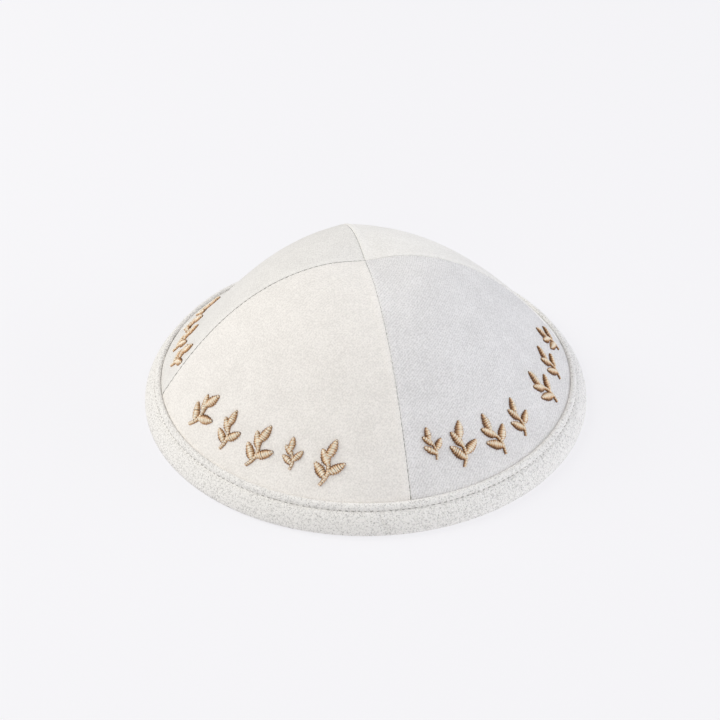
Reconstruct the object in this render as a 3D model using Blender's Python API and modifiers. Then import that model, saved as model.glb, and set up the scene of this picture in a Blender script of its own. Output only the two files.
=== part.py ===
"""A four panel skullcap: crown panels, a folded rim band and stitched leaf sprigs.

Metres, +Z up. The rim rests on Z = 0 and the crown's axis is the Z axis.
The side towards -Y is the front. Angles run from the front towards +X.
"""
import math

import bmesh
import bpy
from mathutils import Vector

# crown
FOLD_RADIUS = 0.0753
FOLD_HEIGHT = 0.0098
CROWN_HEIGHT = 0.0586
CROWN_POWER = 2.46
PANEL_WALL = 0.0016
PANEL_COUNT = 4
FRONT_SEAM_ANGLE = 11.5
SEAM_GAP = 0.0003

# each panel sinks between its two seams, most at this share of the radius
PANEL_SAG = 0.0060
SAG_POWER = 4.1
SAG_SPREAD = 1.0

# the pinch where the four panels meet
APEX_DIP = 0.0011
APEX_DIP_RADIUS = 0.0090
APEX_FLAT_RADIUS = 0.0022

# rim band, a strip folded round the panels' lower edges
BAND_TILT = 56.5
BAND_WALL = 0.0013
BAND_CLEARANCE = 0.0003
BAND_INNER_START = 0.0016
TUCK = 0.0085
REST_RING_OUTER = 0.0804
REST_RING_INNER = 0.0788

# the band's outer side: columns are metres down the slope from the fold
# line and shares of the band's wall, with the stitch line's dent
BAND_OUTER_SIDE = (
    {"down": 0.0000, "out": 0.45},
    {"down": 0.0005, "out": 0.95},
    {"down": 0.0018, "out": 1.08},
    {"down": 0.0030, "out": 0.84},
    {"down": 0.0043, "out": 1.10},
    {"down": 0.0075, "out": 1.18},
    {"down": 0.0100, "out": 1.08},
    {"down": 0.0110, "out": 0.62},
)

# rows of the crown: shares of the fold radius, then metres under the band
CROWN_SHARES = (0.07, 0.12, 0.18, 0.26, 0.35, 0.45, 0.55, 0.65, 0.74, 0.82, 0.89, 0.95, 1.0)
TUCK_SHARES = (0.35, 0.7, 1.0)
CROWN_STEPS = 60
BAND_STEPS = 72

# stitched sprigs
SPRIG_LENGTH = 0.0158
SPRIG_GAP = 0.0003
SPRIG_THICKNESS = 0.0009
STEM_WIDTH = 0.0013
STEM_SHARE = 0.62
STEM_BEND = 0.10
STEM_ROWS = 5
LEAF_INSET = 0.00012
LEAF_ROOF = 0.00012
LEAF_ROWS = (0.0, 0.18, 0.45, 0.76, 1.0)

# a leaf is widest before its middle and its tip is pointed
LEAF_FORWARD = 0.80
LEAF_POINT = 0.90

# leaves of one sprig: share of the stem where it grows, degrees it leans
# away from the stem, length and width as shares of the sprig's length
LEAVES = (
    {"along": 0.28, "lean": -46.0, "length": 0.46, "width": 0.205},
    {"along": 0.46, "lean": 46.0, "length": 0.46, "width": 0.205},
    {"along": 0.74, "lean": -36.0, "length": 0.42, "width": 0.195},
    {"along": 0.96, "lean": 10.0, "length": 0.46, "width": 0.205},
)

# where the sprigs stand: degrees from the front seam, metres in from the
# fold line measured level, share of the full size, degrees of lean
SPRIGS = (
    {"panel": "front_left", "angle": -69.0, "inside": 0.0082, "size": 1.00, "lean": 12.0},
    {"panel": "front_left", "angle": -57.0, "inside": 0.0088, "size": 0.90, "lean": -10.0},
    {"panel": "front_left", "angle": -45.0, "inside": 0.0090, "size": 1.00, "lean": 8.0},
    {"panel": "front_left", "angle": -34.0, "inside": 0.0098, "size": 0.70, "lean": -12.0},
    {"panel": "front_left", "angle": -22.5, "inside": 0.0086, "size": 1.00, "lean": 10.0},
    {"panel": "front_right", "angle": 8.5, "inside": 0.0106, "size": 0.70, "lean": -12.0},
    {"panel": "front_right", "angle": 18.0, "inside": 0.0094, "size": 1.00, "lean": 8.0},
    {"panel": "front_right", "angle": 30.0, "inside": 0.0088, "size": 1.00, "lean": -10.0},
    {"panel": "front_right", "angle": 41.5, "inside": 0.0090, "size": 0.90, "lean": 10.0},
    {"panel": "front_right", "angle": 59.0, "inside": 0.0082, "size": 1.00, "lean": -8.0},
    {"panel": "front_right", "angle": 70.5, "inside": 0.0082, "size": 0.90, "lean": 12.0},
    {"panel": "front_right", "angle": 81.5, "inside": 0.0082, "size": 0.90, "lean": -10.0},
    {"panel": "back_left", "angle": -96.0, "inside": 0.0082, "size": 0.90, "lean": 10.0},
    {"panel": "back_left", "angle": -106.5, "inside": 0.0086, "size": 0.95, "lean": -10.0},
    {"panel": "back_left", "angle": -117.0, "inside": 0.0082, "size": 0.90, "lean": 12.0},
    {"panel": "back_left", "angle": -127.5, "inside": 0.0086, "size": 0.95, "lean": -8.0},
)

# panels: name and the turn of its middle from the front seam
PANELS = (
    {"name": "front_right", "middle": 45.0},
    {"name": "back_right", "middle": 135.0},
    {"name": "back_left", "middle": 225.0},
    {"name": "front_left", "middle": 315.0},
)

MERGE_DISTANCE = 0.00001
CUTTER_REACH = 0.2
SLOPE_STEP = 0.0001

COLOURS = {
    "front_right": (0.80, 0.80, 0.81),
    "back_right": (0.86, 0.85, 0.82),
    "back_left": (0.80, 0.80, 0.78),
    "front_left": (0.87, 0.85, 0.81),
    "band": (0.85, 0.85, 0.83),
    "thread": (0.66, 0.44, 0.27),
}


def clear_scene():
    for item in list(bpy.data.objects):
        bpy.data.objects.remove(item, do_unlink=True)


def new_collection(name):
    group = bpy.data.collections.new(name)
    bpy.context.scene.collection.children.link(group)
    return group


def new_material(name, colour, roughness):
    material = bpy.data.materials.new(name)
    material.use_nodes = True
    shader = material.node_tree.nodes["Principled BSDF"]
    shader.inputs["Base Color"].default_value = (colour[0], colour[1], colour[2], 1.0)
    shader.inputs["Roughness"].default_value = roughness
    return material


def new_object(name, mesh, group, material=None):
    item = bpy.data.objects.new(name, mesh)
    group.objects.link(item)
    if material is not None:
        mesh.materials.append(material)
    return item


def as_cutter(item):
    item.hide_render = True
    item.display_type = "WIRE"


def mesh_from_rows(name, rows, closed_round, cap_first):
    """Skin rows of points into one open surface."""
    shape = bmesh.new()
    placed = [[shape.verts.new(point) for point in row] for row in rows]
    for upper, lower in zip(placed, placed[1:]):
        last = len(upper) if closed_round else len(upper) - 1
        for index in range(last):
            after = (index + 1) % len(upper)
            shape.faces.new((upper[index], lower[index], lower[after], upper[after]))
    if cap_first:
        shape.faces.new(placed[0])
    bmesh.ops.remove_doubles(shape, verts=shape.verts, dist=MERGE_DISTANCE)
    mesh = bpy.data.meshes.new(name)
    shape.to_mesh(mesh)
    shape.free()
    return mesh


def crown_height(radius, angle):
    """Height of the crown's outer face; the angle runs from the front seam."""
    share = radius / FOLD_RADIUS
    ridge = FOLD_HEIGHT + (CROWN_HEIGHT - FOLD_HEIGHT) * (1.0 - share ** CROWN_POWER)
    deepest = SAG_POWER / (SAG_POWER + 1.0)
    most = deepest ** SAG_POWER * (1.0 - deepest)
    sag = PANEL_SAG * share ** SAG_POWER * (1.0 - share) / most
    across = abs(math.sin(0.5 * PANEL_COUNT * angle)) ** SAG_SPREAD
    dip = APEX_DIP * math.exp(-((radius / APEX_DIP_RADIUS) ** 2))
    return ridge - sag * across - dip


def round_point(radius, angle, height):
    turn = angle + math.radians(FRONT_SEAM_ANGLE)
    return Vector((radius * math.sin(turn), -radius * math.cos(turn), height))


def slope_point(down, out):
    """Radius and height of a point down and out from the fold line."""
    tilt = math.radians(BAND_TILT)
    radius = FOLD_RADIUS + down * math.cos(tilt) + out * math.sin(tilt)
    height = FOLD_HEIGHT - down * math.sin(tilt) + out * math.cos(tilt)
    return radius, height


def crown_rows():
    step = 2.0 * math.pi / CROWN_STEPS
    shares = [APEX_FLAT_RADIUS / FOLD_RADIUS] + list(CROWN_SHARES)
    rows = []
    for share in shares:
        radius = share * FOLD_RADIUS
        rows.append([
            round_point(radius, index * step, crown_height(radius, index * step))
            for index in range(CROWN_STEPS)
        ])
    for share in TUCK_SHARES:
        radius, height = slope_point(share * TUCK, 0.0)
        rows.append([round_point(radius, index * step, height) for index in range(CROWN_STEPS)])
    return rows


def build_panels(group, cutters):
    """One quarter of the crown's shell for each panel."""
    for row in PANELS:
        name = "crown_panel_" + row["name"]
        material = new_material(name + "_cloth", COLOURS[row["name"]], 0.9)
        item = new_object(name, mesh_from_rows(name, crown_rows(), True, True), group, material)
        shell = item.modifiers.new("wall", "SOLIDIFY")
        shell.thickness = PANEL_WALL
        shell.offset = -1.0
        shell.use_even_offset = True
        quarter = quarter_block(name + "_quarter", row["middle"], cutters)
        cut = item.modifiers.new("quarter", "BOOLEAN")
        cut.operation = "INTERSECT"
        cut.solver = "EXACT"
        cut.object = quarter


def quarter_block(name, middle, cutters):
    """A block whose corner lies on the axis and whose sides are two seams."""
    half = 0.5 * 2.0 * math.pi / PANEL_COUNT
    centre = math.radians(middle)
    shift = 0.5 * SEAM_GAP / math.sin(half)
    corner = round_point(shift, centre, 0.0)
    near = round_point(CUTTER_REACH, centre - half, 0.0)
    far = round_point(CUTTER_REACH, centre + half, 0.0)
    outline = [corner, corner + near, corner + near + far, corner + far]
    shape = bmesh.new()
    base = [shape.verts.new(point - Vector((0.0, 0.0, CUTTER_REACH))) for point in outline]
    bottom = shape.faces.new(base)
    grown = bmesh.ops.extrude_face_region(shape, geom=[bottom])
    moved = [part for part in grown["geom"] if isinstance(part, bmesh.types.BMVert)]
    bmesh.ops.translate(shape, verts=moved, vec=Vector((0.0, 0.0, 2.0 * CUTTER_REACH)))
    bmesh.ops.recalc_face_normals(shape, faces=shape.faces)
    mesh = bpy.data.meshes.new(name)
    shape.to_mesh(mesh)
    shape.free()
    item = new_object(name, mesh, cutters)
    as_cutter(item)
    return item


def band_section():
    """The folded strip cut across, from its outer top edge round to its slot."""
    outside = BAND_CLEARANCE
    inside = -(PANEL_WALL + BAND_CLEARANCE)
    floor = TUCK + BAND_CLEARANCE
    start = BAND_INNER_START
    points = [slope_point(start * 0.1, outside)]
    points += [slope_point(row["down"], outside + row["out"] * BAND_WALL) for row in BAND_OUTER_SIDE]
    points += [(REST_RING_OUTER, 0.0), (REST_RING_INNER, 0.0)]
    points += [
        slope_point(0.72 * floor, inside - BAND_WALL),
        slope_point(start + 0.3 * BAND_WALL, inside - BAND_WALL),
        slope_point(start, inside - 0.5 * BAND_WALL),
        slope_point(start + 0.2 * BAND_WALL, inside),
        slope_point(floor, inside),
        slope_point(floor, outside),
    ]
    return points


def build_band(group):
    shape = bmesh.new()
    placed = [shape.verts.new((radius, 0.0, height)) for radius, height in band_section()]
    for first, second in zip(placed, placed[1:] + placed[:1]):
        shape.edges.new((first, second))
    mesh = bpy.data.meshes.new("rim_band")
    shape.to_mesh(mesh)
    shape.free()
    item = new_object("rim_band", mesh, group, new_material("band_cloth", COLOURS["band"], 0.95))
    turn = item.modifiers.new("round", "SCREW")
    turn.steps = BAND_STEPS
    turn.render_steps = BAND_STEPS
    turn.use_merge_vertices = True
    turn.merge_threshold = MERGE_DISTANCE


def surface_point(x, y, lift):
    """A point over the crown's outer face, the given distance off it."""
    def over(px, py):
        angle = math.atan2(px, -py) - math.radians(FRONT_SEAM_ANGLE)
        return Vector((px, py, crown_height(math.hypot(px, py), angle)))
    here = over(x, y)
    across = over(x + SLOPE_STEP, y) - here
    along = over(x, y + SLOPE_STEP) - here
    return here + across.cross(along).normalized() * lift


def sprig_frame(row):
    """Base point and the sprig's own right and up directions on the crown."""
    angle = math.radians(row["angle"])
    radius = FOLD_RADIUS - row["inside"]
    base = round_point(radius, angle, crown_height(radius, angle))
    inner = radius - SLOPE_STEP
    upward = (round_point(inner, angle, crown_height(inner, angle)) - base).normalized()
    sideways = round_point(1.0, angle + 0.5 * math.pi, 0.0)
    lean = math.radians(row["lean"])
    up = upward * math.cos(lean) + sideways * math.sin(lean)
    right = sideways * math.cos(lean) - upward * math.sin(lean)
    return base, right, up


def on_crown(frame, size, x, y, lift):
    base, right, up = frame
    length = SPRIG_LENGTH * size
    spot = base + right * (x * length) + up * ((y - 0.5) * length)
    return surface_point(spot.x, spot.y, lift)


def stem_line(share):
    """The stem's curve in shares of the sprig's length."""
    return STEM_BEND * math.sin(math.pi * share) - 0.5 * STEM_BEND, STEM_SHARE * share


def build_sprig(row, number, group, cutters, material):
    """A stem with its leaves joined on, one raised body."""
    name = "sprig_" + row["panel"] + "_" + str(number)
    frame = sprig_frame(row)
    size = row["size"]
    half = 0.5 * STEM_WIDTH / SPRIG_LENGTH
    rows = []
    for index in range(STEM_ROWS):
        x, y = stem_line(index / (STEM_ROWS - 1))
        rows.append([
            on_crown(frame, size, x + half, y, SPRIG_GAP),
            on_crown(frame, size, x - half, y, SPRIG_GAP),
        ])
    item = new_object(name, mesh_from_rows(name, rows, False, False), group, material)
    thicken(item, SPRIG_THICKNESS)
    for leaf_number, leaf in enumerate(LEAVES, start=1):
        blade = build_leaf(name + "_leaf_" + str(leaf_number), leaf, frame, size, cutters)
        join = item.modifiers.new("leaf_" + str(leaf_number), "BOOLEAN")
        join.operation = "UNION"
        join.solver = "EXACT"
        join.object = blade


def thicken(item, thickness):
    shell = item.modifiers.new("raised", "SOLIDIFY")
    shell.thickness = thickness
    shell.offset = 1.0
    shell.use_even_offset = True


def build_leaf(name, leaf, frame, size, cutters):
    start_x, start_y = stem_line(leaf["along"])
    lean = math.radians(leaf["lean"])
    ahead = Vector((math.sin(lean), math.cos(lean)))
    aside = Vector((ahead.y, -ahead.x))
    rows = []
    for share in LEAF_ROWS:
        width = 0.5 * leaf["width"] * math.sin(math.pi * share ** LEAF_FORWARD) ** LEAF_POINT
        middle = Vector((start_x, start_y)) + ahead * leaf["length"] * share
        edge_lift = SPRIG_GAP + LEAF_INSET
        points = []
        for side, roof in ((1.0, 0.0), (0.0, LEAF_ROOF), (-1.0, 0.0)):
            spot = middle + aside * width * side
            points.append(on_crown(frame, size, spot.x, spot.y, edge_lift + roof))
        rows.append(points)
    for end in (0, -1):
        rows[end] = [rows[end][0]] * len(rows[end])
    item = new_object(name, mesh_from_rows(name, rows, False, False), cutters)
    thicken(item, SPRIG_THICKNESS - 2.0 * LEAF_INSET - LEAF_ROOF)
    as_cutter(item)
    return item


def build():
    clear_scene()
    group = new_collection("kippah_skullcap")
    cutters = new_collection("cutters")
    build_panels(group, cutters)
    build_band(group)
    thread = new_material("sprig_thread", COLOURS["thread"], 0.5)
    for panel in PANELS:
        on_panel = [row for row in SPRIGS if row["panel"] == panel["name"]]
        for number, row in enumerate(on_panel, start=1):
            build_sprig(row, number, group, cutters, thread)


build()
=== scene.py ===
import math
import random

import bmesh
import bpy
import numpy as np
from mathutils import Matrix, Vector, noise


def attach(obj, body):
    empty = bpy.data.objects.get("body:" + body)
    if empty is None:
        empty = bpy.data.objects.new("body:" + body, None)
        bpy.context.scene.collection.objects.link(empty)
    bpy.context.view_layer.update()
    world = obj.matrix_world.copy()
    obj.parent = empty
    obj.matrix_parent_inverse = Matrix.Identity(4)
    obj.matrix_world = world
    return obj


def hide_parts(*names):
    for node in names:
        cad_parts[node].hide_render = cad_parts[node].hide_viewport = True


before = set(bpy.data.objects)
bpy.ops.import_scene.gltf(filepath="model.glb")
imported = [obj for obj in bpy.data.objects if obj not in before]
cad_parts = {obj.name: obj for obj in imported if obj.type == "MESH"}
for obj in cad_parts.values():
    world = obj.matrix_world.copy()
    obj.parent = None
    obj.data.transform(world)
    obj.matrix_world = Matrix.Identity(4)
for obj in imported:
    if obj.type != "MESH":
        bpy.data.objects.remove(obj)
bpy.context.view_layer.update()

# the sizes that the part's source uses, in metres and degrees
capSizes = {
    "foldRadius": 0.0753,
    "foldHeight": 0.0098,
    "crownHeight": 0.0586,
    "crownPower": 2.46,
    "panelSag": 0.0060,
    "sagPower": 4.1,
    "apexDip": 0.0011,
    "apexDipRadius": 0.0090,
    "frontSeamAngle": 11.5,
    "bandTilt": 56.5,
    "panelWall": 0.0016,
    "tuck": 0.0085,
}

# slow swells of the cloth: metres high, how many to a metre, and the depth of
# the noise at which they are cut
clothSwells = (
    {"height": 0.00016, "density": 62.0, "depth": 4.0},
    {"height": 0.00005, "density": 210.0, "depth": 9.0},
)


# shape of the cap

def crownHeight(radius, angle):
    # height of the crown's face, the angle counted from a seam
    share = radius / capSizes["foldRadius"]
    rise = capSizes["crownHeight"] - capSizes["foldHeight"]
    ridge = capSizes["foldHeight"] + rise * (1.0 - share ** capSizes["crownPower"])
    power = capSizes["sagPower"]
    deepest = power / (power + 1.0)
    most = deepest ** power * (1.0 - deepest)
    sag = capSizes["panelSag"] * share ** power * (1.0 - share) / most
    dip = capSizes["apexDip"] * np.exp(-((radius / capSizes["apexDipRadius"]) ** 2))
    return ridge - sag * np.abs(np.sin(2.0 * angle)) - dip


def slopePoint(down, out):
    # radius and height of a point down and out from the fold line
    tilt = math.radians(capSizes["bandTilt"])
    radius = capSizes["foldRadius"] + down * np.cos(tilt) + out * np.sin(tilt)
    height = capSizes["foldHeight"] - down * np.sin(tilt) + out * np.cos(tilt)
    return radius, height


def worldAngle(angle):
    return angle + math.radians(capSizes["frontSeamAngle"])


def roundPoints(radius, angle, height):
    turn = worldAngle(angle)
    places = np.broadcast_arrays(radius * np.sin(turn), -radius * np.cos(turn), height)
    return np.stack(places, axis=-1)


def crownNormals(radius, angle, start):
    # outward normals of the crown's face, worked out from its slopes
    step = 1e-6
    fall = (crownHeight(radius + step, angle) - crownHeight(radius - step, angle)) / (2.0 * step)
    twist = (crownHeight(radius, angle + step) - crownHeight(radius, angle - step)) / (2.0 * step)
    turn = worldAngle(angle + start)
    sine, cosine = np.sin(turn), np.cos(turn)
    across = -cosine * twist - fall * radius * sine
    along = fall * radius * cosine - sine * twist
    normals = np.stack([across, along, radius + 0.0 * turn], axis=-1)
    return normals / np.linalg.norm(normals, axis=-1, keepdims=True)


def slopeNormals(angle, start):
    # outward normals of the slope below the fold line
    tilt = math.radians(capSizes["bandTilt"])
    turn = worldAngle(angle + start)
    flat = math.sin(tilt)
    return np.stack([flat * np.sin(turn), -flat * np.cos(turn), math.cos(tilt) + 0.0 * turn], axis=-1)


def softWave(x, y):
    total = 0.0
    for row in clothSwells:
        spot = Vector((x * row["density"], y * row["density"], row["depth"]))
        total += row["height"] * noise.noise(spot)
    return total


def fade(distance, start, length):
    # nought up to the start, one a length further on
    return np.clip((distance - start) / length, 0.0, 1.0)


# pieces

def camelPlace(place):
    # front_left becomes FrontLeft
    return place.title().replace("_", "")


def wallFaces(rowCount, columnCount):
    # a closed wall between two grids of points, the second grid's points after the first's
    index = np.arange(rowCount * columnCount).reshape(rowCount, columnCount)
    quads = np.stack([index[:-1, :-1], index[1:, :-1], index[1:, 1:], index[:-1, 1:]], axis=-1)
    quads = quads.reshape(-1, 4)
    border = np.concatenate([index[0], index[1:, -1], index[-1, -2::-1], index[-2:0:-1, 0]])
    after = np.roll(border, -1)
    sides = np.stack([border, after, after + index.size, border + index.size], axis=-1)
    return np.concatenate([quads, quads[:, ::-1] + index.size, sides]).tolist()


def finishMesh(mesh, mergeDistance):
    shape = bmesh.new()
    shape.from_mesh(mesh)
    bmesh.ops.remove_doubles(shape, verts=shape.verts, dist=mergeDistance)
    bmesh.ops.recalc_face_normals(shape, faces=shape.faces)
    for face in shape.faces:
        face.smooth = True
    shape.to_mesh(mesh)
    shape.free()


def addObject(name, data):
    thing = bpy.data.objects.new(name, data)
    bpy.context.scene.collection.objects.link(thing)
    return thing


def newPiece(name, mesh, materials, nodes=()):
    piece = addObject(name, mesh)
    for material in materials:
        mesh.materials.append(material)
    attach(piece, "root")
    if nodes:
        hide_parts(*nodes)


# node trees

def addNode(tree, kind, x, y, **values):
    node = tree.nodes.new(kind)
    node.location = (x, y)
    for name, value in values.items():
        if name in node.inputs.keys():
            node.inputs[name].default_value = value
        else:
            setattr(node, name, value)
    return node


def setInputs(node, values):
    for label, value in values.items():
        node.inputs[label].default_value = value


def joinNodes(tree, rows):
    # each row has a node and its output, then a node and its input
    for source, output, target, socket in rows:
        tree.links.new(source.outputs[output], target.inputs[socket])


socketKinds = {float: "Float", int: "Int", tuple: "Color"}


def newTree(kind, name, inputs, outputs):
    # an input has its first value, or only the kind of its socket
    tree = bpy.data.node_groups.new(name, kind)
    for label, value in inputs.items():
        plain = isinstance(value, str)
        socketKind = "NodeSocket" + (value if plain else socketKinds[type(value)])
        socket = tree.interface.new_socket(name=label, in_out="INPUT", socket_type=socketKind)
        if not plain:
            socket.default_value = value
    for label, value in outputs.items():
        tree.interface.new_socket(name=label, in_out="OUTPUT", socket_type="NodeSocket" + value)
    return tree, tree.nodes.new("NodeGroupInput"), tree.nodes.new("NodeGroupOutput")


def addRamp(tree, x, y, stops):
    # colours by their places on the ramp, from the lowest place up
    ramp = addNode(tree, "ShaderNodeValToRGB", x, y)
    elements = ramp.color_ramp.elements
    elements[0].position = stops[0]["at"]
    elements[1].position = stops[-1]["at"]
    for stop in stops[1:-1]:
        elements.new(stop["at"])
    for element, stop in zip(elements, stops):
        element.color = stop["colour"] + (1.0,)
    return ramp


def finishShading(group, given, result, factor, height):
    # the dark tone where the factor is nought, the light one where it is one
    tone = addNode(group, "ShaderNodeMix", 480, 0, data_type="RGBA")
    joinNodes(group, (
        (factor, 0, tone, "Factor"),
        (given, "Dark Tone", tone, 6),
        (given, "Light Tone", tone, 7),
        (tone, 2, result, "Tone"),
        (height, 0, result, "Height"),
    ))


shadingOutputs = {"Tone": "Color", "Height": "Float"}
noiseMiddle = 0.5
# a wave texture of this scale has one band to a unit
oneBandScale = 0.314


def makeNapGroup():
    # short brushed nap: fine grain, slow clouding and slanted streaks of the ground cloth
    group, given, result = newTree("ShaderNodeTree", "brushedNap", {
        "Vector": "Vector",
        "Cloth Vector": "Vector",
        "Grain": 1250.0,
        "Cloud": 120.0,
        "Grain Share": 0.8,
        "Streak Share": 0.2,
        "Cloud Share": 0.2,
        "Contrast": 2.5,
        "Raised": 0.0,
        "Raised Painted Sheen": 0.1,
        "Light Tone": (0.9, 0.9, 0.9, 1.0),
        "Dark Tone": (0.7, 0.7, 0.7, 1.0),
    }, shadingOutputs)
    parts = {
        "Grain": addNode(group, "ShaderNodeTexNoise", -600, 300, Detail=2.0, Roughness=0.55),
        "Streak": addNode(group, "ShaderNodeTexWave", -600, 0, bands_direction="Y",
                          Scale=oneBandScale, Distortion=1.6, Detail=1.0),
        "Cloud": addNode(group, "ShaderNodeTexNoise", -600, -300, Detail=3.0, Roughness=0.5),
    }
    joinNodes(group, (
        (given, "Vector", parts["Grain"], "Vector"),
        (given, "Grain", parts["Grain"], "Scale"),
        (given, "Cloth Vector", parts["Streak"], "Vector"),
        (given, "Vector", parts["Cloud"], "Vector"),
        (given, "Cloud", parts["Cloud"], "Scale"),
    ))
    # each part swings about nought, so that the shares leave the mean tone alone
    total = None
    for place, (label, texture) in enumerate(parts.items()):
        centred = addNode(group, "ShaderNodeMath", -400, 300 - 300 * place, operation="SUBTRACT")
        centred.inputs[1].default_value = noiseMiddle
        share = addNode(group, "ShaderNodeMath", -250, 300 - 300 * place, operation="MULTIPLY_ADD")
        share.inputs[2].default_value = 0.0
        joinNodes(group, (
            (texture, "Fac", centred, 0),
            (centred, 0, share, 0),
            (given, label + " Share", share, 1),
        ))
        if total is not None:
            joinNodes(group, ((total, 0, share, 2),))
        total = share
    # cloth raised over a seam's turned edges is painted lighter: a painted sheen of the nap catching the
    # light
    paintedSheen = addNode(group, "ShaderNodeMath", -200, -300, operation="MULTIPLY_ADD")
    paintedSheen.inputs[2].default_value = noiseMiddle
    mask = addNode(group, "ShaderNodeMath", 0, -100, operation="MULTIPLY_ADD", use_clamp=True)
    joinNodes(group, (
        (given, "Raised", paintedSheen, 0),
        (given, "Raised Painted Sheen", paintedSheen, 1),
        (total, 0, mask, 0),
        (given, "Contrast", mask, 1),
        (paintedSheen, 0, mask, 2),
    ))
    finishShading(group, given, result, mask, total)
    return group


def makeCrumbGroup():
    # the band's rougher face: small raised crumbs with darker gaps between them; the tone follows the
    # height, so the dark in the low gaps is painted shade, with some fine grain
    group, given, result = newTree("ShaderNodeTree", "suedeCrumbs", {
        "Vector": "Vector",
        "Crumb": 1500.0,
        "Crumb Edge": 0.6,
        "Crumb Top": 0.2,
        "Crumb Height": 0.7,
        "Fine": 4200.0,
        "Stir": 900.0,
        "Waver": 0.0006,
        "Painted Gap Shade Darkest At": 0.2,
        "Painted Gap Shade Lightest At": 0.6,
        "Light Tone": (0.9, 0.9, 0.9, 1.0),
        "Dark Tone": (0.6, 0.6, 0.6, 1.0),
    }, shadingOutputs)
    stir = addNode(group, "ShaderNodeTexNoise", -900, 200, Detail=2.0, Roughness=0.6)
    centred = addNode(group, "ShaderNodeVectorMath", -700, 200, operation="SUBTRACT")
    centred.inputs[1].default_value = (noiseMiddle, noiseMiddle, noiseMiddle)
    swing = addNode(group, "ShaderNodeVectorMath", -550, 200, operation="SCALE")
    moved = addNode(group, "ShaderNodeVectorMath", -400, 200, operation="ADD")
    cell = addNode(group, "ShaderNodeTexVoronoi", -250, 200, feature="F1")
    fine = addNode(group, "ShaderNodeTexNoise", -250, -150, Detail=3.0, Roughness=0.6)
    crumb = addNode(group, "ShaderNodeMapRange", -50, 200)
    height = addNode(group, "ShaderNodeMath", 150, 100, operation="MULTIPLY_ADD")
    # low heights take the dark tone: painted shade in the gaps between the crumbs
    paintedGapShade = addNode(group, "ShaderNodeMapRange", 300, 0)
    joinNodes(group, (
        (given, "Vector", stir, "Vector"),
        (given, "Stir", stir, "Scale"),
        (stir, "Color", centred, 0),
        (centred, "Vector", swing, 0),
        (given, "Waver", swing, "Scale"),
        (given, "Vector", moved, 0),
        (swing, "Vector", moved, 1),
        (moved, "Vector", cell, "Vector"),
        (given, "Crumb", cell, "Scale"),
        (given, "Vector", fine, "Vector"),
        (given, "Fine", fine, "Scale"),
        (cell, "Distance", crumb, "Value"),
        (given, "Crumb Edge", crumb, "From Min"),
        (given, "Crumb Top", crumb, "From Max"),
        (crumb, "Result", height, 0),
        (given, "Crumb Height", height, 1),
        (fine, "Fac", height, 2),
        (height, 0, paintedGapShade, "Value"),
        (given, "Painted Gap Shade Darkest At", paintedGapShade, "From Min"),
        (given, "Painted Gap Shade Lightest At", paintedGapShade, "From Max"),
    ))
    finishShading(group, given, result, paintedGapShade, height)
    return group


# materials

def newMaterial(name, finish):
    material = bpy.data.materials.new(name)
    material.use_nodes = True
    tree = material.node_tree
    shader = tree.nodes["Principled BSDF"]
    setInputs(shader, {"Sheen Roughness": 0.4, "Specular IOR Level": 0.25})
    setInputs(shader, finish)
    return material, tree, shader


def addBump(tree, source, shader, look):
    bump = addNode(tree, "ShaderNodeBump", -150, -250, Strength=look["bumpStrength"], Distance=look["bump"])
    joinNodes(tree, ((source, "Height", bump, "Height"), (bump, "Normal", shader, "Normal")))


# the same cloth in four panels: the front right and back left are darker, the front right cooler too, as
# painted shade of the nap and the light
clothLooks = {
    "front_left": {"light": (1.0, 0.965, 0.925), "dark": (0.825, 0.795, 0.76),
                   "streak": 0.05, "turn": 78.0},
    "front_right": {"light": (0.94, 0.924, 0.917), "dark": (0.707, 0.691, 0.684),
                    "streak": 0.14, "turn": 18.0},
    "back_left": {"light": (0.95, 0.93, 0.90), "dark": (0.77, 0.75, 0.725),
                  "streak": 0.05, "turn": 40.0},
    "back_right": {"light": (1.0, 0.98, 0.95), "dark": (0.84, 0.82, 0.79),
                   "streak": 0.05, "turn": 50.0},
}
clothWeave = {
    "nap": {"Grain": 1750.0, "Cloud": 110.0, "Grain Share": 1.0, "Cloud Share": 0.25,
            "Contrast": 2.8, "Raised Painted Sheen": 0.15},
    "streakWidth": 0.00078,
    "streakLength": 0.0060,
    "bump": 0.00030,
    "bumpStrength": 0.6,
    "finish": {"Roughness": 0.92, "Sheen Weight": 0.25},
}


def makeClothMaterial(name, look):
    material, tree, shader = newMaterial(name, clothWeave["finish"])
    place = addNode(tree, "ShaderNodeTexCoord", -1100, 0)
    turned = (0.0, 0.0, math.radians(look["turn"]))
    along = addNode(tree, "ShaderNodeMapping", -850, -200, Rotation=turned)
    length, width = clothWeave["streakLength"], clothWeave["streakWidth"]
    stretch = addNode(tree, "ShaderNodeMapping", -650, -200, Scale=(1.0 / length, 1.0 / width, 1.0))
    nap = addNode(tree, "ShaderNodeGroup", -400, 0, node_tree=napGroup)
    setInputs(nap, clothWeave["nap"])
    setInputs(nap, {"Streak Share": look["streak"], "Light Tone": look["light"] + (1.0,),
                    "Dark Tone": look["dark"] + (1.0,)})
    raised = addNode(tree, "ShaderNodeAttribute", -650, 250, attribute_name="raised")
    joinNodes(tree, (
        (raised, "Fac", nap, "Raised"),
        (place, "Object", nap, "Vector"),
        (place, "UV", along, "Vector"),
        (along, "Vector", stretch, "Vector"),
        (stretch, "Vector", nap, "Cloth Vector"),
        (nap, "Tone", shader, "Base Color"),
    ))
    addBump(tree, nap, shader, clothWeave)
    return material


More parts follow.
